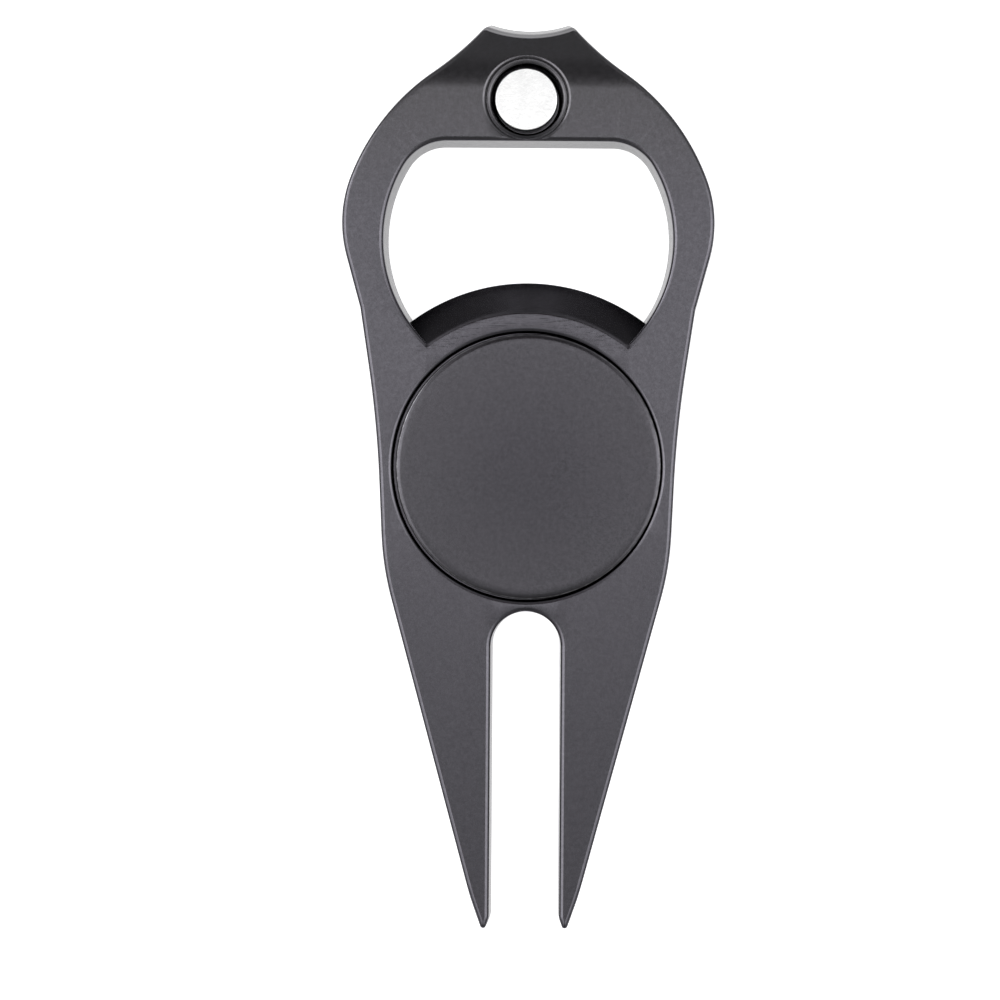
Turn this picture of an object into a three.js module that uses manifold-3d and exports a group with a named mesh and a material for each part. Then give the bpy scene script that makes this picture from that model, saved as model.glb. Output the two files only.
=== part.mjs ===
// Divot repair tool: a die-cast two-tined fork that is also a bottle opener, with a ball marker
// held in a round pocket by a magnet, and a second small magnet that catches bottle caps.
//
// Millimetres. The tool lies on its back: +X right, +Y towards the club notch, +Z out of the
// front face. The origin is on the ball marker's axis, at the back face.

import * as THREE from 'three';
import { mergeVertices } from 'three/addons/utils/BufferGeometryUtils.js';
import Module from 'manifold-3d';

const wasm = await Module();
wasm.setup();

// ---- The casting: thickness, draft and edges ----
const THICKNESS = 5.0;
const DRAFT = 0.15;             // a wall leans back by this much from the back face to the front
const FRONT_EDGE = 0.4;         // width of the broken front edges
const BACK_EDGE = 0.12;         // width of the broken back edges
const NOSE_HEIGHT = 2.6;        // upright nose of the opener's lip, above the back face
const OVERCUT = 1.0;            // how far each cutter runs past the faces

// ---- Outer outline, at the back face ----
// The head's side is three arcs, each tangent to the next; their angles are polar, in degrees.
const SHOULDER = { x: 5.57, y: 23.065, radius: 12.2, start: -15.2, end: 20.9 };   // widest place
const BROW = { radius: 21.6, end: 54.9 };                // flatter turn above the shoulder
const FLANK = { radius: 27.9, top: 217.5 };              // hollow curve up to the notch
const WAIST_KINK = { x: 15.98, y: 14.89, radius: 1.2 };
const WAIST = { x: 14.33, y: 3.95, radius: 110 };
const HIP = { x: 13.71, y: -9.54, radius: 28 };
const TINE_BEND = { x: 5.3, y: -40.6, radius: 25 };      // outer edge turns in towards the point
const TINE_POINT = { x: 3.85, y: -44.7, radius: 0.43 };
const TINE_HEEL = { y: -42.75, radius: 1.4 };            // the slot's edge turns out to the point
const SLOT = { halfWidth: 3.18, y: -17.03 };             // fork slot, round at its closed end
const SHARPEST = 0.05;                                   // least radius of a corner once inset

// ---- Club notch and the sloping neck below it ----
const NOTCH = { radius: 11.5, bottom: 41.68, lean: 0.21 };   // lean: drop in Y for each mm of Z
const NECK = { start: 36.5, blend: 1.8, slope: 14 };         // slope in degrees, after the blend

// ---- Opener opening, at the back face ----
const OPENING = { y: 21.5, radius: 13.39, draft: 0.34 };     // its walls lean back more
const CAP_EDGE = { y: 30.47, corner: 4.5 };                  // flat edge opposite the lip
const LIP = { y: -1.0, nose: 18.45, face: 15.6 };             // radii of the lip at nose and at face

// ---- Ball marker, its pocket and its magnet ----
const MARKER = { radius: 12.55, thickness: 2.0, edge: 0.3 };
const POCKET = { radius: 12.87, edge: 0.25 };
const MARKER_MAGNET = { radius: 5.0, thickness: 1.5, edge: 0.1 };
const MARKER_RECESS = { radius: 5.15, gap: 0.2 };            // gap: from the magnet up to the marker

// ---- Cap magnet and its stepped hole ----
const CAP_MAGNET = { x: -0.22, y: 34.78, radius: 3.0, thickness: 2.0, edge: 0.12 };
const CAP_HOLE = { radius: 3.45, floor: 1.15 };
const CAP_RING = { radius: 3.94, land: 4.2, edge: 0.22 };
const MARKER_AXIS = { x: 0, y: 0 };
const ADHESIVE_BED = 0.15;      // glue under each magnet
const ADHESIVE_MARGIN = 0.3;    // the glue stops this far inside the magnet's edge

const POCKET_FLOOR = THICKNESS - MARKER.thickness;
const RECESS_FLOOR = POCKET_FLOOR - MARKER_RECESS.gap - MARKER_MAGNET.thickness - ADHESIVE_BED;
const CHORD_ERROR = 0.012;      // how far a straight facet may leave its arc
const OPENING_STEPS = { lip: 10, side: 18, corner: 8 };      // facets along the opening's arcs

const { degToRad, radToDeg } = THREE.MathUtils;

// ---------------------------------------------------------------- outlines

/** Facets that keep an arc of this radius and turn within CHORD_ERROR. */
function facets(radius, turn) {
  return Math.ceil(Math.abs(turn) / (2 * Math.acos(1 - CHORD_ERROR / radius)));
}

/** Points of an arc between two polar angles in degrees; it may run either way. */
function arc(x, y, radius, from, to, steps = facets(radius, degToRad(to - from))) {
  const curve = new THREE.EllipseCurve(x, y, radius, radius, degToRad(from), degToRad(to), to < from);
  return curve.getPoints(steps);
}

/**
 * The arc that rounds the corner of a clockwise outline where the lines from a and to b meet.
 * The whole outline may lie inside the given lines by a distance, in steps that don't depend on it.
 */
function rounded(a, corner, b, radius, inset = 0) {
  const toA = new THREE.Vector2(a.x - corner.x, a.y - corner.y).normalize();
  const toB = new THREE.Vector2(b.x - corner.x, b.y - corner.y).normalize();
  const half = Math.acos(toA.dot(toB)) / 2;
  const bulge = Math.sign(toA.cross(toB));
  const size = Math.max(radius - bulge * inset, SHARPEST);
  const middle = toA.clone().add(toB).normalize();
  const centre = middle.clone().multiplyScalar((bulge * inset + size) / Math.sin(half)).add(corner);
  const turn = (2 * half - Math.PI) * bulge;
  const start = middle.rotateAround(new THREE.Vector2(), -turn / 2).multiplyScalar(-size);
  const steps = facets(radius, turn);
  return Array.from({ length: steps + 1 }, (_, i) =>
    start.clone().rotateAround(new THREE.Vector2(), turn * i / steps).add(centre));
}

/** Closes a half outline, which starts and ends near the Y axis, with its mirror image. */
function mirrored(half) {
  const other = half.filter((p) => Math.abs(p.x) > 1e-6).reverse();
  return [...half, ...other.map((p) => new THREE.Vector2(-p.x, p.y))];
}

/** The centre of an arc that carries on from another at a polar angle; bulge -1 turns it hollow. */
function nextCentre(from, angle, radius, bulge = 1) {
  const reach = from.radius - bulge * radius;
  return {
    x: from.x + reach * Math.cos(degToRad(angle)),
    y: from.y + reach * Math.sin(degToRad(angle)),
    radius,
  };
}

/** The fork's and head's outline, anticlockwise, this far inside its line at the back face. */
function outerOutline(inset) {
  const along = ({ x, y, radius }, bulge, from, to) =>
    arc(x, y, radius - bulge * inset, from, to, facets(radius, degToRad(to - from)));
  const brow = nextCentre(SHOULDER, SHOULDER.end, BROW.radius);
  const flank = nextCentre(brow, BROW.end, FLANK.radius, -1);
  const shoulderFoot = arc(SHOULDER.x, SHOULDER.y, SHOULDER.radius, SHOULDER.start, SHOULDER.end)[0];
  const heel = { x: SLOT.halfWidth, y: TINE_HEEL.y };
  const slotEnd = { x: SLOT.halfWidth, y: SLOT.y };
  const corners = [shoulderFoot, WAIST_KINK, WAIST, HIP, TINE_BEND, TINE_POINT, heel, slotEnd];
  const radii = [WAIST_KINK, WAIST, HIP, TINE_BEND, TINE_POINT, TINE_HEEL].map(({ radius }) => radius);
  return mirrored([
    ...along(flank, -1, FLANK.top, 180 + BROW.end),
    ...along(brow, 1, BROW.end, SHOULDER.end).slice(1),
    ...along(SHOULDER, 1, SHOULDER.end, SHOULDER.start).slice(1),
    ...radii.flatMap((radius, i) =>
      rounded(corners[i], corners[i + 1], corners[i + 2], radius, inset)),
    ...along({ x: 0, y: SLOT.y, radius: SLOT.halfWidth }, -1, 0, 90),
  ]).reverse();
}

/** The opener opening, grown by a distance, above a lip arc of the given radius. */
function openingOutline(grow, lipRadius) {
  const radius = OPENING.radius + grow;
  const corner = CAP_EDGE.corner + grow;
  const cornerY = CAP_EDGE.y + grow - corner;
  const cornerX = Math.sqrt((radius - corner) ** 2 - (cornerY - OPENING.y) ** 2);
  const join = radToDeg(Math.atan2(cornerY - OPENING.y, cornerX));

  // The opening's circle crosses the lip's circle at (endX, endY).
  const gap = OPENING.y - LIP.y;
  const rise = (lipRadius ** 2 - radius ** 2 + gap ** 2) / (2 * gap);
  const endX = Math.sqrt(lipRadius ** 2 - rise ** 2);
  const endY = LIP.y + rise;
  return mirrored([
    ...arc(0, LIP.y, lipRadius, 90, radToDeg(Math.atan2(rise, endX)), OPENING_STEPS.lip),
    ...arc(0, OPENING.y, radius, radToDeg(Math.atan2(endY - OPENING.y, endX)), join,
      OPENING_STEPS.side).slice(1),
    ...arc(cornerX, cornerY, corner, join, 90, OPENING_STEPS.corner).slice(1),
  ]);
}

// ---------------------------------------------------------------- solids

/** Turns a closed three.js geometry into a solid that can be cut. */
function solid(geometry) {
  geometry.deleteAttribute('normal');
  geometry.deleteAttribute('uv');
  const merged = mergeVertices(geometry, 1e-5);
  const corners = Array.from(merged.index.array);
  const triangles = [];
  for (let i = 0; i < corners.length; i += 3) {
    const [a, b, c] = corners.slice(i, i + 3);
    if (a !== b && b !== c && c !== a) triangles.push(a, b, c);
  }
  return new wasm.Manifold(new wasm.Mesh({
    numProp: 3,
    vertProperties: Float32Array.from(merged.attributes.position.array),
    triVerts: Uint32Array.from(triangles),
  }));
}

/** Stacks outlines of equal point count, each { points, z }, into one closed solid. */
function loft(levels) {
  const count = levels[0].points.length;
  const index = [];
  for (let level = 0; level + 1 < levels.length; level += 1) {
    for (let i = 0; i < count; i += 1) {
      const a = level * count + i;
      const b = level * count + (i + 1) % count;
      index.push(a, b, b + count, a, b + count, a + count);
    }
  }
  const top = (levels.length - 1) * count;
  for (const [a, b, c] of THREE.ShapeUtils.triangulateShape(levels[0].points, [])) {
    index.push(c, b, a);
  }
  for (const [a, b, c] of THREE.ShapeUtils.triangulateShape(levels.at(-1).points, [])) {
    index.push(top + a, top + b, top + c);
  }
  const corners = levels.flatMap(({ points, z }) => points.flatMap((p) => [p.x, p.y, z]));
  const geometry = new THREE.BufferGeometry();
  geometry.setAttribute('position', new THREE.Float32BufferAttribute(corners, 3));
  geometry.setIndex(index);
  return solid(geometry);
}

/** A turned solid about the vertical line through a point, from its [radius, z] profile. */
function turned(profile, { x, y } = MARKER_AXIS) {
  const widest = Math.max(...profile.map(([radius]) => radius));
  const points = profile.map(([radius, z]) => new THREE.Vector2(radius, z));
  const geometry = new THREE.LatheGeometry(points, facets(widest, 2 * Math.PI));
  return solid(geometry.rotateX(Math.PI / 2).translate(x, y, 0));
}

/** A flat disc between two heights, with both rims broken by edge. */
function disc(radius, low, high, edge, axis = MARKER_AXIS) {
  return turned([
    [0, low],
    [radius - edge, low],
    [radius, low + edge],
    [radius, high - edge],
    [radius - edge, high],
    [0, high],
  ], axis);
}

/** The heights of a drafted wall's outlines, each with its inset; its edges are broken. */
function wall(draft) {
  const start = THICKNESS - FRONT_EDGE;
  const lean = (z) => draft * z / THICKNESS;
  return [
    { z: 0, by: BACK_EDGE },
    { z: BACK_EDGE, by: 0 },
    { z: NOSE_HEIGHT, by: lean(NOSE_HEIGHT) },
    { z: start, by: lean(start) },
    { z: THICKNESS - FRONT_EDGE * 0.3, by: lean(start) + FRONT_EDGE * 0.3 },
    { z: THICKNESS, by: lean(start) + FRONT_EDGE },
  ];
}

function plate() {
  return loft(wall(DRAFT).map(({ z, by }) => ({ points: outerOutline(by), z })));
}

/** Cuts the opener opening, with the bevel that leaves the lip's sharp nose at the back. */
function openingCutter() {
  const bevel = (LIP.nose - LIP.face) / (THICKNESS - NOSE_HEIGHT);
  const level = ({ z, by }) => ({
    points: openingOutline(by, LIP.nose - bevel * Math.max(0, z - NOSE_HEIGHT)),
    z,
  });
  const levels = wall(OPENING.draft).map(level);
  return loft([
    { ...levels[0], z: -OVERCUT },
    ...levels,
    { ...levels.at(-1), z: THICKNESS + OVERCUT },
  ]);
}

/** Cuts the hollow at the very top where a club's grip rests. */
function notchCutter() {
  const at = (z) => ({
    points: arc(0, NOTCH.bottom + NOTCH.radius - NOTCH.lean * z, NOTCH.radius, 0, 360).slice(1),
    z,
  });
  return loft([at(-OVERCUT), at(THICKNESS + OVERCUT)]);
}

/** Cuts the neck's front face to a slope that falls away towards the notch. */
function neckCutter() {
  const slope = Math.tan(degToRad(NECK.slope));
  const end = NOTCH.bottom + 2;
  const blend = [0, 1 / 3, 2 / 3, 1].map((part) => new THREE.Vector2(
    NECK.start + NECK.blend * part,
    THICKNESS - slope * NECK.blend * part ** 2 / 2,
  ));
  const fall = slope * (end - NECK.start - NECK.blend / 2);
  const shape = new THREE.Shape([
    ...blend,
    new THREE.Vector2(end, THICKNESS - fall),
    new THREE.Vector2(end, THICKNESS + OVERCUT),
    new THREE.Vector2(NECK.start, THICKNESS + OVERCUT),
  ]);
  const width = 2 * BROW.radius;
  const geometry = new THREE.ExtrudeGeometry(shape, { depth: width, bevelEnabled: false });
  const [x, y, z] = [[1, 0, 0], [0, 1, 0], [0, 0, 1]].map((axis) => new THREE.Vector3(...axis));
  geometry.applyMatrix4(new THREE.Matrix4().makeBasis(y, z, x)).translate(-width / 2, 0, 0);
  return solid(geometry);
}

/** Cuts the marker's pocket and, in its floor, the recess for the marker's magnet. */
function pocketCutter() {
  return turned([
    [0, RECESS_FLOOR],
    [MARKER_RECESS.radius, RECESS_FLOOR],
    [MARKER_RECESS.radius, POCKET_FLOOR],
    [POCKET.radius, POCKET_FLOOR],
    [POCKET.radius, THICKNESS - POCKET.edge],
    [POCKET.radius + POCKET.edge, THICKNESS],
    [POCKET.radius + POCKET.edge, THICKNESS + OVERCUT],
    [0, THICKNESS + OVERCUT],
  ]);
}

/** Cuts the cap magnet's hole: a shallow ring, a land and the deeper hole. */
function capHoleCutter() {
  return turned([
    [0, CAP_HOLE.floor],
    [CAP_HOLE.radius, CAP_HOLE.floor],
    [CAP_HOLE.radius, CAP_RING.land],
    [CAP_RING.radius, CAP_RING.land],
    [CAP_RING.radius, THICKNESS - CAP_RING.edge],
    [CAP_RING.radius + CAP_RING.edge, THICKNESS],
    [CAP_RING.radius + CAP_RING.edge, THICKNESS + OVERCUT],
    [0, THICKNESS + OVERCUT],
  ], CAP_MAGNET);
}

// ---------------------------------------------------------------- pieces

const gunmetal = { roughness: 0.45, metalness: 0.9 };
const materials = {
  body: new THREE.MeshStandardMaterial({ color: 0x67656b, ...gunmetal, flatShading: true }),
  marker: new THREE.MeshStandardMaterial({ color: 0x535157, ...gunmetal, flatShading: true }),
  magnet: new THREE.MeshStandardMaterial({
    color: 0xdcdcd8, roughness: 0.2, metalness: 1.0, flatShading: true,
  }),
  adhesive: new THREE.MeshStandardMaterial({
    color: 0xb8a77a, roughness: 0.4, metalness: 0.0, flatShading: true,
  }),
};

/** One named sub-part from a solid. */
function piece(name, body, material) {
  const { vertProperties, triVerts } = body.getMesh();
  const geometry = new THREE.BufferGeometry();
  geometry.setAttribute('position', new THREE.BufferAttribute(vertProperties, 3));
  geometry.setIndex(new THREE.BufferAttribute(triVerts, 1));
  geometry.computeVertexNormals();
  const mesh = new THREE.Mesh(geometry, material);
  mesh.name = name;
  return mesh;
}

function toolBody() {
  const cutters = [openingCutter(), notchCutter(), neckCutter(), pocketCutter(), capHoleCutter()];
  const body = cutters.reduce((rest, cutter) => rest.subtract(cutter), plate());
  return piece('tool_body', body, materials.body);
}

function ballMarker() {
  const { radius, edge } = MARKER;
  return piece('ball_marker', disc(radius, POCKET_FLOOR, THICKNESS, edge), materials.marker);
}

/** A disc magnet on its thin bed of adhesive, its base at the given height. */
function magnet(name, { radius, thickness, edge }, floor, axis) {
  const glueTop = floor + ADHESIVE_BED;
  const glue = disc(radius - ADHESIVE_MARGIN, floor, glueTop, 0, axis);
  return [
    piece(name, disc(radius, glueTop, glueTop + thickness, edge, axis), materials.magnet),
    piece(`${name}_adhesive`, glue, materials.adhesive),
  ];
}

const tool = new THREE.Group();
tool.name = 'divot_repair_tool';
tool.add(
  toolBody(),
  ballMarker(),
  ...magnet('marker_magnet', MARKER_MAGNET, RECESS_FLOOR),
  ...magnet('cap_magnet', CAP_MAGNET, CAP_HOLE.floor, CAP_MAGNET),
);

export default tool;
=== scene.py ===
"""Divot repair tool with a bottle-opener head and a magnetic ball marker: the fine visual model.

Lengths are millimetres, as in the CAD model, and turn into metres where a mesh is made.
+X is to the right, +Y towards the club notch, and +Z out of the front face.
"""
import math

import bmesh
import bpy
import numpy as np
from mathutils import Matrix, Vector
from mathutils.geometry import delaunay_2d_cdt


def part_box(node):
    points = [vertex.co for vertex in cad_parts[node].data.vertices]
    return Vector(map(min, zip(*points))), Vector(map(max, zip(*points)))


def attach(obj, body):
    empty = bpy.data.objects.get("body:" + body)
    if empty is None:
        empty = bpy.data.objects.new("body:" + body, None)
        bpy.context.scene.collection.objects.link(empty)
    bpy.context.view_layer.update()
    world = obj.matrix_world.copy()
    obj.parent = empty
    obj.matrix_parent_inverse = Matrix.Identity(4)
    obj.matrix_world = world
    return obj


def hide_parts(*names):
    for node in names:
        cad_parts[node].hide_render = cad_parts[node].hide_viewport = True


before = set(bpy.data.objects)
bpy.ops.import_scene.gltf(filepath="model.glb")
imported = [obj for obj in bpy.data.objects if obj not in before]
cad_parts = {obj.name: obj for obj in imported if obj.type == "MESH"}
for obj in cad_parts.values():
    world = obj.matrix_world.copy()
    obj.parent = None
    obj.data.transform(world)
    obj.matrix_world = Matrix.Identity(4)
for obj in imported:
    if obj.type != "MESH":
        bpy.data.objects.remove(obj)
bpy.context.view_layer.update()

MM = 0.001


def box_mm(node):
    """The corners of a CAD node's box, in millimetres."""
    return [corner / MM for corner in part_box(node)]


def axis_of(node):
    """The middle of a CAD node's box, seen from above."""
    low, high = box_mm(node)
    return Vector(((low.x + high.x) / 2, (low.y + high.y) / 2))


# ---- Sizes that the frame gives ----
THICKNESS = box_mm("tool_body")[1].z
MARKER_LOW, MARKER_HIGH = box_mm("ball_marker")
MARKER_RADIUS = MARKER_HIGH.x
POCKET_FLOOR = MARKER_LOW.z

# ---- The casting's walls and edges ----
DRAFT = 0.15                # a wall leans in by this much from the back face to the front
EDGE = {"bevel": 0.23, "foot": 0.17}            # widths of a front edge's bevel and steep foot
EDGE_FACETS = [("bevel", 0.1, 4), ("bevel", 0.3, 12), ("bevel", 0.6, 16),
               ("foot", 0.15, 28), ("foot", 0.7, 37), ("foot", 0.15, 66)]   # share of width, tilt
BACK_EDGE = 0.12            # rounding of the edges at the back face
NECK_WALL_FOOT = 3.2        # below this height the neck's walls don't follow its sloping face
# Heights of a wall's rings. Those at the lip's nose are shares of its roll, from the nose's height.
WALL_RINGS = {"low": [1.0, 1.8], "nose": (-0.45, -0.25, 0, 0.15, 0.3), "high": [3.2, 3.8, 4.4]}

# ---- Outer outline, at the back face ----
SHOULDER = {"x": 5.57, "y": 23.065, "radius": 12.2, "start": -15.2, "end": 20.9}
BROW = {"radius": 21.6, "end": 54.9}
FLANK = {"radius": 27.9}
WAIST_KINK = {"x": 15.98, "y": 14.89, "radius": 1.2}
WAIST = {"x": 14.33, "y": 3.95, "radius": 110}
HIP = {"x": 13.71, "y": -9.54, "radius": 28}
TINE_BEND = {"x": 5.3, "y": -40.6, "radius": 25}
TINE_POINT = {"x": 3.85, "y": -44.7, "radius": 0.43}
TINE_HEEL = {"y": -42.75, "radius": 1.4}
SLOT = {"half_width": 3.18, "y": -17.03}
SHARPEST = 0.05             # least radius of an inset corner
NOTCH = {"radius": 11.5, "bottom": 41.68, "lean": 0.21, "corner": 0.45, "edge": 0.25}
NECK = {"start": 35.8, "blend": 3.2, "slope": 14}

# ---- Opener opening, at the back face ----
OPENING = {"y": 21.5, "radius": 13.39, "draft": 0.34}
CAP_EDGE = {"y": 30.47, "corner": 4.5, "tighter": 0.5}
LIP = {"y": -1.0, "nose": 18.45, "face": 15.6, "nose_height": 2.6, "nose_roll": 0.2, "face_roll": 0.55}

# ---- Pocket, magnet holes and what sits in them ----
POCKET = {"radius": 12.83, "bevel": 0.2, "foot": 0.06, "fillet": 0.2}
MARKER = {"dish": 0.04, "base_roll": 0.3, "shift": (0.16, 0.0)}
MARKER_FACETS = [(0.1, 4), (0.12, 8), (0.15, 12), (0.08, 30), (0.04, 65)]   # width, tilt
RECESS = {"radius": 5.15, "floor": 1.15, "edge": 0.08, "fillet": 0.1}
CAP_RING = {"radius": 3.9, "land": 4.2, "bevel": 0.2, "foot": 0.11, "fillet": 0.08}
CAP_HOLE = {"radius": 3.45, "floor": 1.15, "cone": 0.42}
CAP_HOLE_EDGE = [(0.09, 0), (0.03, 0.03), (0, 0.09)]    # (outside the hole, below the land)
CAP_MAGNET_SHIFT = (-0.07, 0.1)     # how far the magnet sits off its hole's axis

SLOPE = math.tan(math.radians(NECK["slope"]))


# ---------------------------------------------------------------- outlines

def polar(centre, radius, degrees):
    angle = math.radians(degrees)
    return Vector((centre[0] + radius * math.cos(angle), centre[1] + radius * math.sin(angle)))


def angle_of(vector):
    return math.degrees(math.atan2(vector.y, vector.x))


def arc(centre, radius, start, end, count):
    """Points along an arc, both ends included."""
    return [polar(centre, radius, start + (end - start) * i / count) for i in range(count + 1)]


def rounded(before, corner, after, radius, count, inset=0):
    """The arc that rounds a corner of a clockwise outline, which may lie inside its given lines."""
    to_before = (before - corner).normalized()
    to_after = (after - corner).normalized()
    half = math.acos(to_before.dot(to_after)) / 2
    middle = (to_before + to_after).normalized()
    bulge = 1 if to_before.cross(to_after) > 0 else -1
    size = max(radius - bulge * inset, SHARPEST)
    centre = corner + middle * (bulge * inset + size) / math.sin(half)
    turn = bulge * (180 - 2 * math.degrees(half))
    start = angle_of(-middle) + turn / 2
    return arc(centre, size, start, start - turn, count)


def circles_meet(a, radius_a, b, radius_b):
    """The lower one of the two points where two circles cross."""
    gap = b - a
    along = (gap.length_squared + radius_a ** 2 - radius_b ** 2) / (2 * gap.length)
    across = math.sqrt(radius_a ** 2 - along ** 2)
    foot = a + gap.normalized() * along
    side = Vector((-gap.y, gap.x)).normalized() * across
    return min(foot + side, foot - side, key=lambda point: point.y)


def mirrored(half):
    """Closes a half outline, which runs clockwise on the right, with its mirror image."""
    other = [Vector((-p.x, p.y)) for p in reversed(half) if abs(p.x) > 1e-6]
    return half + other


SHOULDER_CENTRE = Vector((SHOULDER["x"], SHOULDER["y"]))
BROW_CENTRE = polar(SHOULDER_CENTRE, SHOULDER["radius"] - BROW["radius"], SHOULDER["end"])
FLANK_CENTRE = polar(BROW_CENTRE, BROW["radius"] + FLANK["radius"], BROW["end"])


def head_and_fork(inset):
    """The outline from the flank's foot down to the top of the fork slot."""
    shoulder_foot = polar(SHOULDER_CENTRE, SHOULDER["radius"], SHOULDER["start"])
    kink, waist, hip, bend, point = [
        Vector((at["x"], at["y"])) for at in (WAIST_KINK, WAIST, HIP, TINE_BEND, TINE_POINT)]
    heel = Vector((SLOT["half_width"], TINE_HEEL["y"]))
    slot_end = Vector((SLOT["half_width"], SLOT["y"]))
    path = arc(BROW_CENTRE, BROW["radius"] - inset, BROW["end"], SHOULDER["end"], 29)
    path += arc(SHOULDER_CENTRE, SHOULDER["radius"] - inset, SHOULDER["end"], SHOULDER["start"], 20)[1:]
    corners = [shoulder_foot, kink, waist, hip, bend, point, heel, slot_end]
    rounds = [(WAIST_KINK, 8), (WAIST, 10), (HIP, 36), (TINE_BEND, 8), (TINE_POINT, 16), (TINE_HEEL, 8)]
    for i, (at, count) in enumerate(rounds):
        path += rounded(*corners[i:i + 3], at["radius"], count, inset)
    return path + arc((0, SLOT["y"]), SLOT["half_width"] + inset, 0, 90, 34)


def outer_outline(level):
    """The outline of the head and fork at one level of the wall."""
    inset = level["lean"] + level["edge"]
    notch_y = NOTCH["bottom"] + NOTCH["radius"] - NOTCH["lean"] * level["z"]
    notch_centre = Vector((0, notch_y))
    notch_radius = NOTCH["radius"] + level["edge"] * NOTCH["edge"]
    flank_radius = FLANK["radius"] + inset
    corner_radius = NOTCH["corner"]
    corner = circles_meet(FLANK_CENTRE, flank_radius + corner_radius,
                          notch_centre, notch_radius + corner_radius)
    notch_end = angle_of(corner - notch_centre)
    flank_start = angle_of(corner - FLANK_CENTRE) % 360
    turn_start = angle_of(notch_centre - corner)
    turn_end = angle_of(FLANK_CENTRE - corner)
    steps = {"notch": 30, "corner": 8, "flank": 52}
    path = [polar(notch_centre, notch_radius, -90 + (notch_end + 90) * i / steps["notch"])
            for i in range(steps["notch"])]
    path += [polar(corner, corner_radius, turn_start + (turn_end - turn_start) * i / steps["corner"])
             for i in range(steps["corner"])]
    flank_end = 180 + BROW["end"]
    path += [polar(FLANK_CENTRE, flank_radius,
                   flank_start + (flank_end - flank_start) * i / steps["flank"])
             for i in range(steps["flank"])]
    return mirrored(path + head_and_fork(inset))


def lip_profile():
    """(heights, radii) of the opener lip: an upright nose, a bevel, and a roll on to the face."""
    corners = [Vector((LIP["nose"], 0)), Vector((LIP["nose"], LIP["nose_height"])),
               Vector((LIP["face"], THICKNESS)), Vector((LIP["face"] - 2, THICKNESS))]
    nose = rounded(*corners[:3], LIP["nose_roll"], 6)
    face = rounded(*corners[1:], LIP["face_roll"], 20)
    points = [corners[0], *nose, *face]
    return [p.y for p in points], [p.x for p in points]


LIP_PROFILE = lip_profile()


def opening_outline(level):
    """The opener opening at one level of the wall."""
    grow = level["lean"] + level["edge"]
    lip_radius = np.interp(level["z"], *LIP_PROFILE)
    if level["z"] < BACK_EDGE:
        lip_radius -= level["edge"]
    radius = OPENING["radius"] + grow
    corner = CAP_EDGE["corner"] + grow - CAP_EDGE["tighter"] * (1 - level["z"] / THICKNESS)
    corner_y = CAP_EDGE["y"] + grow - corner
    corner_x = math.sqrt((radius - corner) ** 2 - (corner_y - OPENING["y"]) ** 2)
    join = math.degrees(math.atan2(corner_y - OPENING["y"], corner_x))
    gap = OPENING["y"] - LIP["y"]
    rise = (lip_radius ** 2 - radius ** 2 + gap ** 2) / (2 * gap)
    end_x = math.sqrt(lip_radius ** 2 - rise ** 2)
    lip_end = math.degrees(math.atan2(rise, end_x))
    side_start = math.degrees(math.atan2(LIP["y"] + rise - OPENING["y"], end_x))
    steps = {"lip": 40, "side": 60, "corner": 24}

    def sweep(centre, size, start, end, count):
        return [polar(centre, size, start + (end - start) * i / count) for i in range(count)]

    path = sweep((0, LIP["y"]), lip_radius, 90, lip_end, steps["lip"])
    path += sweep((0, OPENING["y"]), radius, side_start, join, steps["side"])
    path += sweep((corner_x, corner_y), corner, join, 90, steps["corner"])
    path.append(Vector((corner_x, corner_y + corner)))
    path += [Vector((corner_x * part, corner_y + corner)) for part in (0.75, 0.5, 0.25, 0)]
    return mirrored(path)


# ---------------------------------------------------------------- edge profiles

def facet_profile(facets, outside=0):
    """(distance, depth) pairs of an edge, from its (width, tilt) facets, and where it starts."""
    profile = [(outside, 0)]
    for width, tilt in facets:
        distance, depth = profile[-1]
        profile.append((distance - width, depth + width * math.tan(math.radians(tilt))))
    return profile


def edge_profile(edge=EDGE):
    """(inset, depth) pairs of a front edge, from the wall up to the face."""
    facets = [(edge[part] * share, tilt) for part, share, tilt in EDGE_FACETS]
    return facet_profile(facets, edge["bevel"] + edge["foot"])[::-1]


def wall_levels(draft):
    """The heights of a wall's rings, each with its lean and its extra inset at the edges."""
    def lean(z):
        return draft * z / THICKNESS

    front = edge_profile()
    depth = front[0][1]
    back = [(BACK_EDGE * (1 - math.sin(a)), BACK_EDGE * (1 - math.cos(a)))
            for a in np.radians([0, 30, 60, 90])]
    nose = [LIP["nose_height"] + LIP["nose_roll"] * share for share in WALL_RINGS["nose"]]
    middle = [*WALL_RINGS["low"], *nose, *WALL_RINGS["high"]]
    levels = [{"z": z, "lean": lean(z), "edge": edge} for edge, z in back]
    levels += [{"z": z, "lean": lean(z), "edge": 0} for z in middle]
    levels += [{"z": THICKNESS - d, "lean": lean(THICKNESS - depth), "edge": edge} for edge, d in front]
    return levels


def neck_drop(y):
    """How far the neck's sloping face lies below the front face."""
    past = y - NECK["start"]
    if past <= 0:
        return 0
    if past < NECK["blend"]:
        return SLOPE * past ** 2 / NECK["blend"] / 2
    return SLOPE * (past - NECK["blend"] / 2)


# ---------------------------------------------------------------- mesh building

def add_ring(mesh, points, z):
    return [mesh.verts.new((p[0], p[1], z)) for p in points]


def bridge(mesh, lower, upper):
    """Quads between two closed rings of equal count."""
    count = len(lower)
    for i in range(count):
        j = (i + 1) % count
        mesh.faces.new((lower[i], lower[j], upper[j], upper[i]))


def circle(radius, count=192):
    return [polar((0, 0), radius, 360 * i / count) for i in range(count)]


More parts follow.
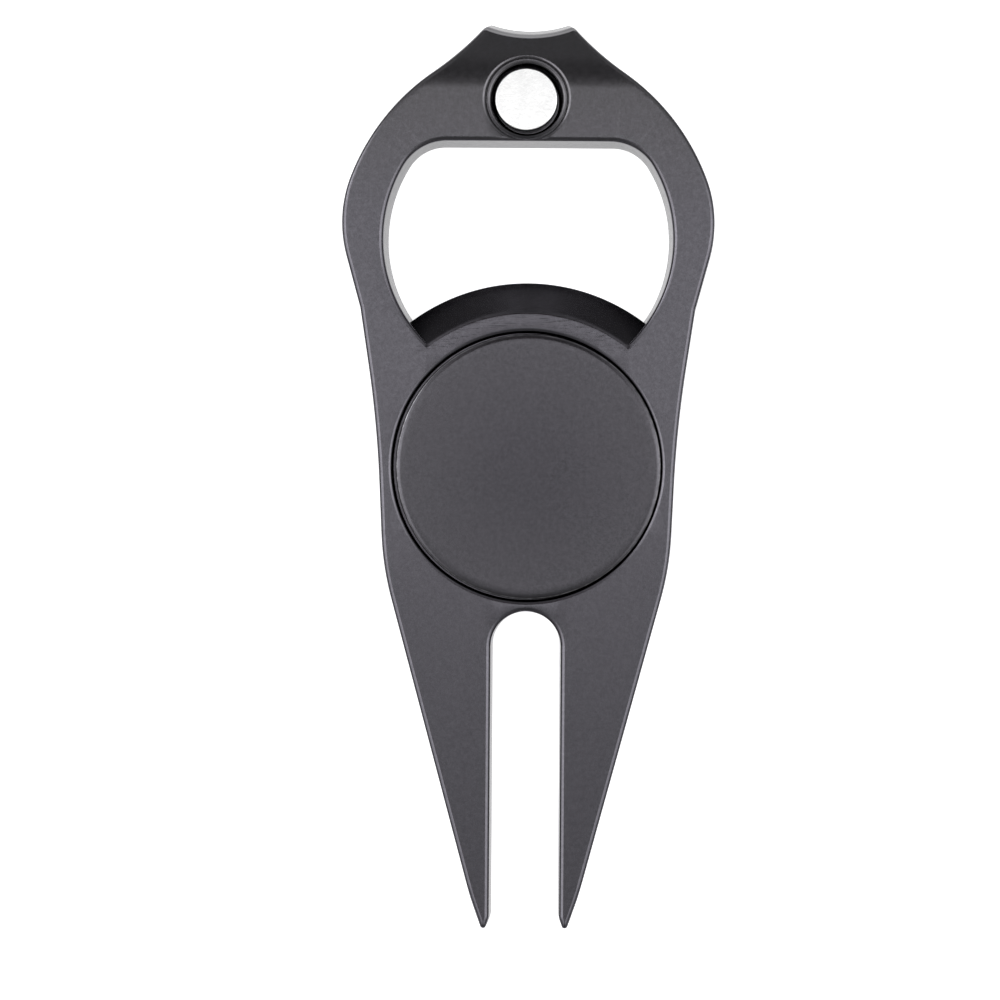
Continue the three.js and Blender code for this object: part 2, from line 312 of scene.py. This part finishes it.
def turned_rings(mesh, profile, centre=Vector((0, 0)), count=192):
    """Rings of a turned wall, one for each (radius, z); returns them in the profile's order."""
    rings = []
    for radius, z in profile:
        points = [p + centre for p in circle(radius, count)]
        rings.append(add_ring(mesh, points, z))
    for lower, upper in zip(rings, rings[1:]):
        bridge(mesh, lower, upper)
    return rings


def inside(point, loops):
    """Even-odd test of a point against several closed loops."""
    hit = False
    for loop in loops:
        for a, b in zip(loop, loop[1:] + loop[:1]):
            if (a.y > point.y) != (b.y > point.y):
                if point.x < a.x + (point.y - a.y) / (b.y - a.y) * (b.x - a.x):
                    hit = not hit
    return hit


def fill_face(mesh, rings, z, extra=()):
    """Triangles of a flat face bounded by rings of vertices, with extra points inside it."""
    verts = [v for ring in rings for v in ring]
    edges = []
    start = 0
    for ring in rings:
        edges += [(start + i, start + (i + 1) % len(ring)) for i in range(len(ring))]
        start += len(ring)
    flat = [Vector((v.co.x, v.co.y)) for v in verts]
    loops = [[Vector((v.co.x, v.co.y)) for v in ring] for ring in rings]
    out, _, triangles, origins, _, _ = delaunay_2d_cdt(flat + list(extra), edges, [], 0, 1e-7)
    place = {}
    for i, found in enumerate(origins):
        known = [index for index in found if index < len(verts)]
        place[i] = verts[known[0]] if known else mesh.verts.new((*out[i], z))
    for triangle in triangles:
        middle = sum((out[i] for i in triangle), Vector((0, 0))) / 3
        if inside(middle, loops):
            mesh.faces.new([place[i] for i in triangle])


def neck_points(loops, pitch=0.35, margin=0.2, reach=2, half_width=12):
    """A grid of points in the neck's face, so that it can bend into its slope."""
    rim = [p for loop in loops for p in loop if p.y > NECK["start"] - reach]
    points = []
    for row in np.arange(NECK["start"] - pitch, NOTCH["bottom"], pitch / 2):
        for column in np.arange(-half_width, half_width, pitch):
            point = Vector((column, row))
            if inside(point, loops) and min((point - p).length for p in rim) > margin:
                points.append(point)
    return points


def new_object(name, mesh, body):
    """A finished piece from a bmesh in millimetres."""
    bmesh.ops.recalc_face_normals(mesh, faces=mesh.faces)
    bmesh.ops.scale(mesh, vec=(MM, MM, MM), verts=mesh.verts)
    data = bpy.data.meshes.new(name)
    mesh.to_mesh(data)
    mesh.free()
    data.shade_smooth()
    piece = bpy.data.objects.new(name, data)
    bpy.context.scene.collection.objects.link(piece)
    if body:
        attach(piece, body)
    return piece


def settle(piece):
    """Applies the piece's modifiers."""
    graph = bpy.context.evaluated_depsgraph_get()
    data = bpy.data.meshes.new_from_object(piece.evaluated_get(graph))
    old = piece.data
    piece.modifiers.clear()
    piece.data = data
    bpy.data.meshes.remove(old)


def crisp(piece, angle=38):
    """Flat faces shade flat and small rolls shade round; edges over the angle stay sharp."""
    piece.data.set_sharp_from_angle(angle=math.radians(angle))
    weighted = piece.modifiers.new("weighted", "WEIGHTED_NORMAL")
    weighted.mode = "FACE_AREA"
    weighted.keep_sharp = True
    settle(piece)


# ---------------------------------------------------------------- pieces

def body_blank():
    """The casting with its opening, slot, notch, neck and pocket, but without the cap magnet's hole."""
    mesh = bmesh.new()
    outer = [add_ring(mesh, outer_outline(level), level["z"]) for level in wall_levels(DRAFT)]
    opening = [add_ring(mesh, opening_outline(level), level["z"])
               for level in wall_levels(OPENING["draft"])]
    for rings in (outer, opening):
        for lower, upper in zip(rings, rings[1:]):
            bridge(mesh, lower, upper)

    fillet = POCKET["fillet"]
    rim = [(POCKET["radius"] + inset, THICKNESS - depth)
           for inset, depth in reversed(edge_profile(POCKET))]
    floor = [(POCKET["radius"] - fillet * (1 - math.cos(a)), POCKET_FLOOR + fillet * (1 - math.sin(a)))
             for a in np.radians([0, 30, 60, 90])]
    radius, edge, foot = RECESS["radius"], RECESS["edge"], RECESS["fillet"]
    recess = [(radius + edge, POCKET_FLOOR), (radius, POCKET_FLOOR - edge),
              (radius, RECESS["floor"] + foot), (radius - foot, RECESS["floor"])]
    pocket = turned_rings(mesh, rim + floor + recess)
    mesh.faces.new(pocket[-1])

    face_rings = [outer[-1], opening[-1], pocket[0]]
    loops = [[Vector((v.co.x, v.co.y)) for v in ring] for ring in face_rings]
    fill_face(mesh, face_rings, THICKNESS, neck_points(loops))
    fill_face(mesh, [outer[0], opening[0]], 0)

    top = THICKNESS - edge_profile()[0][1]
    for v in mesh.verts:
        follow = (v.co.z - NECK_WALL_FOOT) / (top - NECK_WALL_FOOT)
        v.co.z -= neck_drop(v.co.y) * min(max(follow, 0), 1)
    return new_object("gunmetal_casting", mesh, "tool")


def cap_hole_cutter():
    """What the cap magnet's ring, land and hole take away; its rim follows the neck's slope."""
    centre = axis_of("cap_magnet")
    overcut, skin, overlap = 1, 0.002, 0.05     # past the face, just clear of it, past the rim
    rim = [(CAP_RING["radius"] + inset, THICKNESS - depth)
           for inset, depth in reversed(edge_profile(CAP_RING))]
    wide = rim[0][0] + overlap
    radius = CAP_HOLE["radius"]
    ring, land, fillet = [CAP_RING[part] for part in ("radius", "land", "fillet")]
    profile = [
        (wide, THICKNESS + overcut), (wide, THICKNESS + skin), *rim,
        (ring, land + fillet), (ring - fillet, land),
        *((radius + out, land - down) for out, down in CAP_HOLE_EDGE),
        (radius, CAP_HOLE["floor"] + CAP_HOLE["cone"]), (radius - CAP_HOLE["cone"], CAP_HOLE["floor"]),
    ]
    mesh = bmesh.new()
    rings = turned_rings(mesh, profile, centre)
    mesh.faces.new(rings[0])
    mesh.faces.new(rings[-1])
    rim_foot = rim[-1][1] - 1e-6
    for v in mesh.verts:
        if v.co.z >= rim_foot:
            v.co.z -= neck_drop(v.co.y)
    return new_object("cap_hole_cutter", mesh, None)


def casting():
    piece = body_blank()
    cutter = cap_hole_cutter()
    cut = piece.modifiers.new("cap hole", "BOOLEAN")
    cut.operation = "DIFFERENCE"
    cut.solver = "EXACT"
    cut.object = cutter
    settle(piece)
    bpy.data.objects.remove(cutter)
    crisp(piece)
    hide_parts("tool_body")
    return piece


def turned_piece(name, profile, body, node, shift=(0, 0)):
    """A closed turned piece on a CAD node's axis, from its (radius, z) profile."""
    mesh = bmesh.new()
    rings = turned_rings(mesh, profile, axis_of(node) + Vector(shift), 256)
    mesh.faces.new(rings[0])
    mesh.faces.new(rings[-1])
    piece = new_object(name, mesh, body)
    crisp(piece)
    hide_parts(node)
    return piece


def marker():
    """The ball marker: a faintly dished disc whose face falls away at the rim before it rolls over."""
    low, high = MARKER_LOW.z, MARKER_HIGH.z
    radius, roll, dish = MARKER_RADIUS, MARKER["base_roll"], MARKER["dish"]
    rim = radius - sum(width for width, _ in MARKER_FACETS)
    face = [(rim * t, high - dish * (1 - t ** 3)) for t in np.linspace(0.1, 1, 25)]
    edge = [(rim - distance, high - depth) for distance, depth in facet_profile(MARKER_FACETS)]
    base = [(radius - roll * (1 - math.cos(a)), low + roll * (1 - math.sin(a)))
            for a in np.radians([0, 30, 60, 90])]
    profile = [*face, *edge[1:], *base]
    return turned_piece("marker_disc", profile, "marker", "ball_marker", MARKER["shift"])


def magnet(name, node, shift, roll=0.14):
    """A plated disc magnet with rounded rims."""
    low, high = box_mm(node)
    radius = (high.x - low.x) / 2
    quarter = np.radians([0, 22.5, 45, 67.5, 90])
    top = [(radius - roll + roll * math.sin(a), high.z - roll * (1 - math.cos(a))) for a in quarter]
    base = [(radius - roll + roll * math.cos(a), low.z + roll * (1 - math.sin(a))) for a in quarter]
    return turned_piece(name, top + base, "tool", node, shift)


def glue(name, node):
    """The cured ring of adhesive squeezed out under a magnet."""
    low, high = box_mm(node)
    radius, height = (high.x - low.x) / 2, high.z - low.z
    profile = [(radius + height * (math.sin(a) - 1), low.z + height * (1 + math.cos(a)) / 2)
               for a in np.radians([0, 45, 90, 135, 180])]
    return turned_piece(name, profile, "tool", node)


# ---------------------------------------------------------------- materials

class Nodes:
    """A node tree, with short calls that add linked nodes."""

    def __init__(self, tree):
        self.tree = tree

    def add(self, kind, inputs=None, **settings):
        node = self.tree.nodes.new(kind)
        for key, value in settings.items():
            setattr(node, key, value)
        for key, value in (inputs or {}).items():
            self.feed(node.inputs[key], value)
        return node

    def feed(self, socket, value):
        if isinstance(value, bpy.types.NodeSocket):
            self.tree.links.new(value, socket)
        else:
            socket.default_value = value

    def math(self, operation, *values):
        return self.add("ShaderNodeMath", dict(enumerate(values)), operation=operation).outputs[0]

    def vector(self, operation, *values):
        return self.add("ShaderNodeVectorMath", dict(enumerate(values)), operation=operation).outputs

    def ramp(self, value, low, high, to_low=0.0, to_high=1.0):
        inputs = {"Value": value, "From Min": low, "From Max": high, "To Min": to_low, "To Max": to_high}
        return self.add("ShaderNodeMapRange", inputs).outputs["Result"]

    def curve(self, value, stops):
        """A function of a value that runs straight between its (value, result) stops."""
        first, last = stops[0][0], stops[-1][0]
        most = max(result for _, result in stops)
        node = self.add("ShaderNodeValToRGB", {0: self.ramp(value, first, last)})
        elements = node.color_ramp.elements
        for index, (at, result) in enumerate(stops):
            stop = elements[index] if index < 2 else elements.new(1.0)
            stop.position = (at - first) / (last - first)
            stop.color = grey(result / most)
        return self.math("MULTIPLY", node.outputs["Color"], most)


class Shader(Nodes):
    """A material, whose textures are measured in millimetres."""

    def __init__(self, name):
        self.material = bpy.data.materials.new(name)
        self.material.use_nodes = True
        super().__init__(self.material.node_tree)
        self.surface = self.tree.nodes["Principled BSDF"]
        place = self.add("ShaderNodeTexCoord").outputs["Object"]
        self.place = self.vector("SCALE", place)[0]
        self.place.node.inputs["Scale"].default_value = 1 / MM
        self.x, self.y, self.z = self.add("ShaderNodeSeparateXYZ", {0: self.place}).outputs

    def noise(self, size, detail=2.0, place=None):
        """Soft noise from 0 to 1 whose features are about this many millimetres across."""
        inputs = {"Vector": place or self.place, "Scale": 1 / size, "Detail": detail}
        return self.add("ShaderNodeTexNoise", inputs).outputs["Fac"]

    def within(self, value, low, high, soft):
        """1 between two limits and 0 beyond them, with soft ends."""
        rise = self.ramp(value, low - soft, low + soft)
        return self.math("MULTIPLY", rise, self.ramp(value, high + soft, high - soft))

    def radius(self, x, y):
        """Distance in plan from the vertical line through (x, y)."""
        flat = self.vector("MULTIPLY", self.place, (1, 1, 0))[0]
        return self.vector("DISTANCE", flat, (x, y, 0))[1]

    def hairlines(self, angle, length=2.2, width=0.07, sparse=0.66):
        """Fine straight scratches, all at about one angle."""
        turn = self.add("ShaderNodeMapping", {"Vector": self.place, "Rotation": (0, 0, math.radians(angle)),
                                              "Scale": (1 / length, 1 / width, 1 / length)})
        return self.ramp(self.noise(1, 1, turn.outputs[0]), sparse, sparse + 0.08)

    def specks(self, spacing, size, share):
        """Tiny round specks: one in some of the cells of a grid of about this spacing."""
        cells = self.add("ShaderNodeTexVoronoi", {"Vector": self.place, "Scale": 1 / spacing})
        chosen = self.math("LESS_THAN", self.math("MULTIPLY", cells.outputs["Color"], 1.0), share)
        near = self.ramp(cells.outputs["Distance"], size / spacing, size / spacing / 2)
        return self.math("MULTIPLY", near, chosen)

    def mix(self, factor, a, b):
        node = self.add("ShaderNodeMix", data_type="RGBA")
        for index, value in ((0, factor), (6, a), (7, b)):
            self.feed(node.inputs[index], value)
        return node.outputs[2]

    def set(self, **inputs):
        for key, value in inputs.items():
            self.feed(self.surface.inputs[key.replace("_", " ")], value)


def grey(value, tint=(1.0, 1.0, 1.0)):
    return (*[value * t for t in tint], 1.0)


GUNMETAL_TINT = (0.985, 0.955, 1.08)
NECK_TINT = (1.0, 0.98, 1.03)
NECK_TINT_FROM, NECK_TINT_BY = 24, 36       # the tint changes between these heights up the tool

BODY_LOOK = {"tone": 0.097, "roughness": 0.22, "graininess": 0.32}
MARKER_LOOK = {"tone": 0.06, "roughness": 0.22, "graininess": 0.5}
# The last tone, 5 times the plating's, is that of painted highlights and painted light.
TONE_OF = {"cloud": 0.5, "grain": 1.8, "speck": 3, "scratch": 0.3, "painted_light": 5}   # times the plating's
FEATURE_SIZE = {"grain": 0.11, "mottle": 0.35, "cloud": 9, "scratched_patch": 4, "gloss": 0.5}
CLOUDING = 0.08             # how much of the cloud's tone shows, at most
SPECKS = {"spacing": 3.1, "size": 0.045, "share": 0.16}
SPECK_STRENGTH = 0.5
HAIRLINE_ANGLE = -62
PLATING_BUMP = {"strength": 0.35, "height": 0.004}
PLATING_SPECULAR = 0.68

# Polishing scratches, on the rim between the lip and the pocket.
POLISHED = {"radii": (13.2, 15.4), "rows": (10.8, 16)}
POLISHED_LINES = [(-38, 1.6, 0.09, 0.6), (-12, 1.2, 0.1, 0.64)]     # angle, length, width, sparseness

# The marker's edge: a painted highlight in broken pale patches along its rounded rim, and painted light
# that makes its face lighter outwards.
PAINTED_EDGE_HIGHLIGHT = {"radii": (12.38, 12.46), "below_face": (0.5, 0.3), "patches": 0.7}
PAINTED_LIGHT_OUTWARDS = {"from": 3, "to": 12, "share": 0.06}

NICKEL = {"dark": 0.92, "light": 0.97, "rough": (0.19, 0.23), "grain": 0.25, "patches": 1.2}
NICKEL_BUMP = {"strength": 0.15, "height": 0.01}
EPOXY = {"dark": (0.5, 0.41, 0.22, 1), "light": (0.42, 0.33, 0.16, 1), "rough": (0.3, 0.45)}


def plating(s, tone, roughness, graininess, scratches=None, painted_light=None):
    """Satin black-nickel plating: a fine grain, faint clouding, hairlines and a few pale specks."""
    grain = s.noise(FEATURE_SIZE["grain"], 1)
    toning = s.mix(s.ramp(s.y, NECK_TINT_FROM, NECK_TINT_BY),
                   grey(tone, GUNMETAL_TINT), grey(tone, NECK_TINT))
    colour = s.mix(s.ramp(s.noise(FEATURE_SIZE["cloud"], 3), 0.3, 0.7, 0, CLOUDING),
                   toning, grey(tone * TONE_OF["cloud"], GUNMETAL_TINT))
    mottle = s.math("ADD", s.math("MULTIPLY", grain, 0.6),
                    s.math("MULTIPLY", s.noise(FEATURE_SIZE["mottle"], 1), 0.4))
    colour = s.mix(s.ramp(mottle, 0.35, 0.65, 0, graininess),
                   colour, grey(tone * TONE_OF["grain"], GUNMETAL_TINT))
    colour = s.mix(s.ramp(s.specks(**SPECKS), 0, 1, 0, SPECK_STRENGTH),
                   colour, grey(tone * TONE_OF["speck"]))
    height = s.math("MULTIPLY", grain, 0.25)
    patches = s.noise(FEATURE_SIZE["scratched_patch"], 1)
    lines = s.math("MULTIPLY", s.hairlines(HAIRLINE_ANGLE), s.ramp(patches, 0.52, 0.62, 0, 0.15))
    if scratches:
        lines = s.math("MAXIMUM", lines, scratches)
    colour = s.mix(s.math("MULTIPLY", lines, 0.45), colour, grey(tone * TONE_OF["scratch"]))
    # Painted light: where a mask is given, the colour turns pale, for painted highlights and painted
    # lighter areas.
    if painted_light:
        colour = s.mix(painted_light, colour, grey(tone * TONE_OF["painted_light"], NECK_TINT))
    height = s.math("SUBTRACT", height, s.math("MULTIPLY", lines, 0.5))
    bump = s.add("ShaderNodeBump", {"Strength": PLATING_BUMP["strength"],
                                    "Distance": PLATING_BUMP["height"] * MM, "Height": height})
    gloss = s.ramp(s.noise(FEATURE_SIZE["gloss"], 2), 0.3, 0.7, roughness - 0.02, roughness + 0.02)
    s.set(Base_Color=colour, Metallic=1.0, Specular_Tint=grey(PLATING_SPECULAR),
          Normal=bump.outputs["Normal"], Roughness=gloss)
    return s.material


def body_plating():
    """The casting's plating, with polishing scratches on the rim between the lip and the pocket."""
    s = Shader("body plating")
    rim = s.within(s.radius(0, 0), *POLISHED["radii"], 0.2)
    rim = s.math("MULTIPLY", rim, s.within(s.y, *POLISHED["rows"], 0.5))
    crossed = s.math("MAXIMUM", *(s.hairlines(*line) for line in POLISHED_LINES))
    return plating(s, **BODY_LOOK, scratches=s.math("MULTIPLY", crossed, rim))


def marker_plating():
    """As the body's but darker, with painted light that makes it faintly lighter outwards and a painted
    highlight in broken pale patches along its edge.
    """
    s = Shader("marker plating")
    radius = s.radius(*MARKER["shift"])
    low, high = [THICKNESS - below for below in PAINTED_EDGE_HIGHLIGHT["below_face"]]
    # A painted highlight: pale broken patches around the marker's rounded edge, just under its face.
    edge = s.math("MULTIPLY", s.ramp(radius, *PAINTED_EDGE_HIGHLIGHT["radii"]), s.ramp(s.z, low, high))
    highlight_patches = s.ramp(s.noise(PAINTED_EDGE_HIGHLIGHT["patches"], 2), 0.4, 0.6, 0.35, 1)
    # Painted light: the marker's face grows lighter outwards from a darker middle.
    paler = s.ramp(radius, PAINTED_LIGHT_OUTWARDS["from"], PAINTED_LIGHT_OUTWARDS["to"], 0, PAINTED_LIGHT_OUTWARDS["share"])
    painted_light = s.math("MAXIMUM", s.math("MULTIPLY", edge, highlight_patches), paler)
    return plating(s, **MARKER_LOOK, painted_light=painted_light)


def nickel():
    s = Shader("magnet nickel")
    grain = s.noise(NICKEL["grain"], 2)
    bump = s.add("ShaderNodeBump", {"Strength": NICKEL_BUMP["strength"],
                                    "Distance": NICKEL_BUMP["height"] * MM, "Height": grain})
    colour = s.mix(s.ramp(s.noise(NICKEL["patches"], 2), 0.35, 0.65),
                   grey(NICKEL["dark"]), grey(NICKEL["light"]))
    s.set(Base_Color=colour, Metallic=1.0, Roughness=s.ramp(grain, 0.3, 0.7, *NICKEL["rough"]),
          Normal=bump.outputs["Normal"])
    return s.material


def epoxy():
    s = Shader("epoxy")
    colour = s.mix(s.ramp(s.noise(0.8, 2), 0.3, 0.7), EPOXY["dark"], EPOXY["light"])
    s.set(Base_Color=colour, Roughness=s.ramp(s.noise(0.4), 0.3, 0.7, *EPOXY["rough"]))
    return s.material


def dress(piece, material):
    piece.data.materials.clear()
    piece.data.materials.append(material)


# ---------------------------------------------------------------- stage

# The camera's height is above the front face. The photograph gives it only as a ratio to the tool's
# assumed thickness. The roll is in degrees, and the focal length in widths of the sensor.
CAMERA = {"height": 385, "foot": (4.573, -1.246), "roll": 0.374, "focal_widths": 4.073}
FRAMING_SHIFT = (-0.075, -0.02)
SENSOR_WIDTH = 36
CLIP_METRES = (0.01, 20)
FLOOR_GAP = 0.02
FLOOR_HALF_WIDTH = 4000
FLOOR_LOOK = {"tone": 0.9, "roughness": 0.9, "glow": 0.95}


def camera():
    data = bpy.data.cameras.new("camera")
    data.sensor_width = SENSOR_WIDTH
    data.lens = CAMERA["focal_widths"] * data.sensor_width
    data.shift_x, data.shift_y = FRAMING_SHIFT
    data.clip_start, data.clip_end = CLIP_METRES
    seen_from = bpy.data.objects.new("camera", data)
    seen_from.location = Vector((*CAMERA["foot"], CAMERA["height"] + THICKNESS)) * MM
    seen_from.rotation_euler = (0, 0, math.radians(CAMERA["roll"]))
    bpy.context.scene.collection.objects.link(seen_from)
    bpy.context.scene.camera = seen_from


def floor():
    mesh = bmesh.new()
    bmesh.ops.create_grid(mesh, x_segments=8, y_segments=8, size=FLOOR_HALF_WIDTH)
    bmesh.ops.translate(mesh, verts=mesh.verts, vec=(0, 0, -FLOOR_GAP))
    table = new_object("floor", mesh, None)
    s = Shader("floor")
    s.set(Base_Color=grey(FLOOR_LOOK["tone"]), Roughness=FLOOR_LOOK["roughness"],
          Emission_Color=grey(1.0), Emission_Strength=FLOOR_LOOK["glow"])
    dress(table, s.material)


# The studio's light, shaped so that the faces come out as light as in the photograph: a long narrow
# strip overhead from left to right, a wing of light at either side, a dim band around the horizon that
# is dimmer beyond the notch, and a small lamp half way up on the left. The stops are (degrees from
# straight up, brightness): towards either side, and then from the fork to the notch.
STRIP = {
    "side": [(0, 0.93), (10, 1.05), (24, 0.95), (40, 0.6), (60, 0.35), (90, 0.28)],
    "along": [(-90, 0.05), (-45, 0.12), (-20, 0.28), (-8, 0.38), (-3, 0.55), (0, 0.56), (1.8, 2.6),
              (4.5, 2.6), (6, 0.1), (24, 0.08), (34, 0.31), (60, 0.13), (90, 0.1)],
}
WINGS = {
    "side": [(0, 0), (11, 0), (20, 2.1), (40, 2.1), (52, 0.5), (64, 0), (90, 0)],
    "along": [(-90, 0), (-40, 0.05), (-24, 0.12), (-12, 1), (10, 1), (24, 0.2), (50, 0.1), (90, 0.1)],
}
LEFT_BIAS = 0.08            # how much brighter the left is than the middle
HORIZON = {"level": 0.3, "full_below": 24, "ends_at": 42, "past_notch": 0.2}   # elevations, share
HORIZON_FADE = (0.1, 0.85)  # where it dims towards the notch, in the direction's Y
LAMP = {"azimuth": 155, "elevation": 45, "half_width": 10, "level": 4.5}
STUDIO_DARK = 0.03          # added everywhere, so that it's the least level, from below too


def studio():
    world = bpy.data.worlds.new("studio")
    bpy.context.scene.world = world
    world.use_nodes = True
    s = Nodes(world.node_tree)
    direction = s.add("ShaderNodeTexCoord").outputs["Generated"]
    x, y, z = s.add("ShaderNodeSeparateXYZ", {0: direction}).outputs
    up = s.math("MAXIMUM", z, 0.01)
    side = s.math("DEGREES", s.math("ARCTAN2", s.math("ABSOLUTE", x), up))
    along = s.math("DEGREES", s.math("ARCTAN2", y, up))
    strip, wings = [s.math("MULTIPLY", s.curve(side, light["side"]), s.curve(along, light["along"]))
                    for light in (STRIP, WINGS)]
    light = s.math("ADD", strip, wings)
    light = s.math("MULTIPLY", light, s.math("SUBTRACT", 1.0, s.math("MULTIPLY", x, LEFT_BIAS)))
    full, end = [math.sin(math.radians(HORIZON[part])) for part in ("full_below", "ends_at")]
    band = s.math("MULTIPLY", s.ramp(z, full, end, HORIZON["level"], 0),
                  s.ramp(y, *HORIZON_FADE, 1, HORIZON["past_notch"]))
    light = s.math("ADD", light, band)
    azimuth, elevation, width = [
        math.radians(LAMP[part]) for part in ("azimuth", "elevation", "half_width")]
    towards = (math.cos(elevation) * math.cos(azimuth), math.cos(elevation) * math.sin(azimuth),
               math.sin(elevation))
    aim = s.vector("DOT_PRODUCT", direction, towards)[1]
    lamp = s.ramp(aim, math.cos(width), math.cos(width / 2), 0, LAMP["level"])
    light = s.math("MULTIPLY", s.math("ADD", light, lamp), s.math("GREATER_THAN", z, 0.0))
    background = s.tree.nodes["Background"]
    background.inputs["Color"].default_value = (1, 1, 1, 1)
    s.feed(background.inputs["Strength"], s.math("ADD", light, STUDIO_DARK))
    bpy.context.scene.view_settings.view_transform = "Standard"


# ---------------------------------------------------------------- the object

dress(casting(), body_plating())
dress(marker(), marker_plating())
magnet_nickel = nickel()
adhesive = epoxy()
for holder, shift in (("marker", (0, 0)), ("cap", CAP_MAGNET_SHIFT)):
    dress(magnet(f"{holder}_disc_magnet", f"{holder}_magnet", shift), magnet_nickel)
    dress(glue(f"{holder}_glue", f"{holder}_magnet_adhesive"), adhesive)

camera()
floor()
studio()
